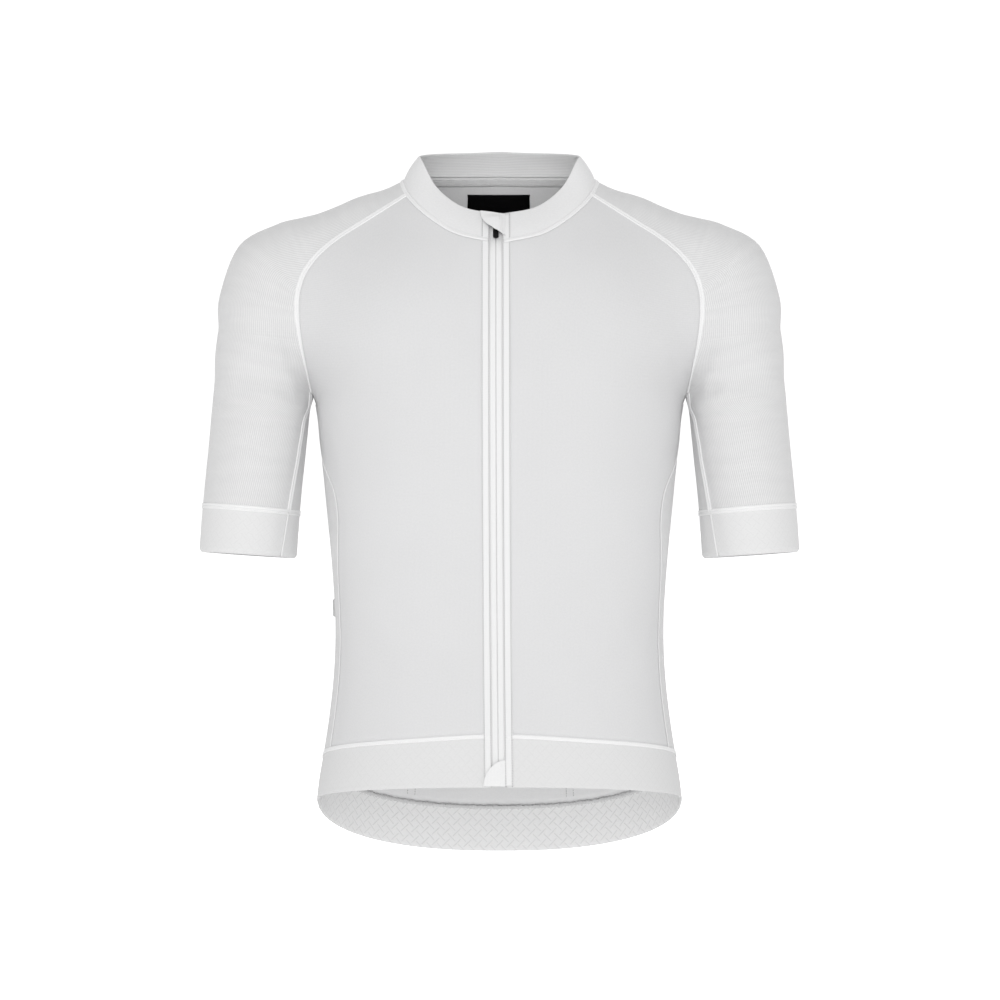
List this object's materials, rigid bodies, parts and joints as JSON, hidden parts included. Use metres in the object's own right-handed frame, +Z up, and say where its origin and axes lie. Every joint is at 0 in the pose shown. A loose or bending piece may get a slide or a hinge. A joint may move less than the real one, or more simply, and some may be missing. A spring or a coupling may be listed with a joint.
{
  "type": "cycling jersey",
  "caption": "Short-sleeved white cycling jersey with a full zip, raglan sleeves, stand collar, elastic cuffs, a dropped back hem and flat rear pockets, worn but hollow.",
  "frame": {"origin": "middle of the neck opening at the mean height of the collar seam, where the wearer's neck and shoulders carry the jersey", "axes": "+X towards the wearer's left, -Y to the front, +Z up towards the collar"},
  "size_m": [0.5632, 0.2413, 0.6749],
  "materials": {
    "front_knit": "fine smooth knit, matt with a slight sheen",
    "ribbed_knit": "fine ribbed knit, a little sheer, matt",
    "elastic_band": "dense elastic band, matt",
    "collar_knit": "smooth folded knit, matt",
    "zip_tape": "plain woven tape, matt",
    "zip_coil": "satin",
    "zip_slider": "satin white paint",
    "zip_pull": "satin black",
    "label_black": "plain black print cloth, matt"
  },
  "bodies": {
    "jersey": {"front_left": "front_knit", "front_right": "front_knit", "back": "front_knit", "side_left": "ribbed_knit", "side_right": "ribbed_knit", "sleeve_left": "ribbed_knit", "sleeve_right": "ribbed_knit", "cuff_left": "elastic_band", "cuff_right": "elastic_band", "hem_front_left": "elastic_band", "hem_front_right": "elastic_band", "hem_back": "elastic_band", "collar": "collar_knit", "zip_tape_left": "zip_tape", "zip_tape_right": "zip_tape", "facing_left": "zip_tape", "facing_right": "zip_tape", "garage_flap": "zip_tape", "hem_flap": "zip_tape", "neck_tape": "zip_tape", "side_tab": "zip_tape", "zip_coil": "zip_coil", "zip_slider": "zip_slider", "pocket_left": "front_knit", "pocket_middle": "front_knit", "pocket_right": "front_knit", "neck_label": "label_black"},
    "pull": {"zip_pull": "zip_pull"}
  },
  "joints": [
    {"name": "pull_swing", "type": "hinge", "parent": "jersey", "child": "pull", "pos_m": [-0.0033, -0.08177, -0.02952], "axis": [-1, 0, 0], "range_deg": [0, 10]}
  ]
}
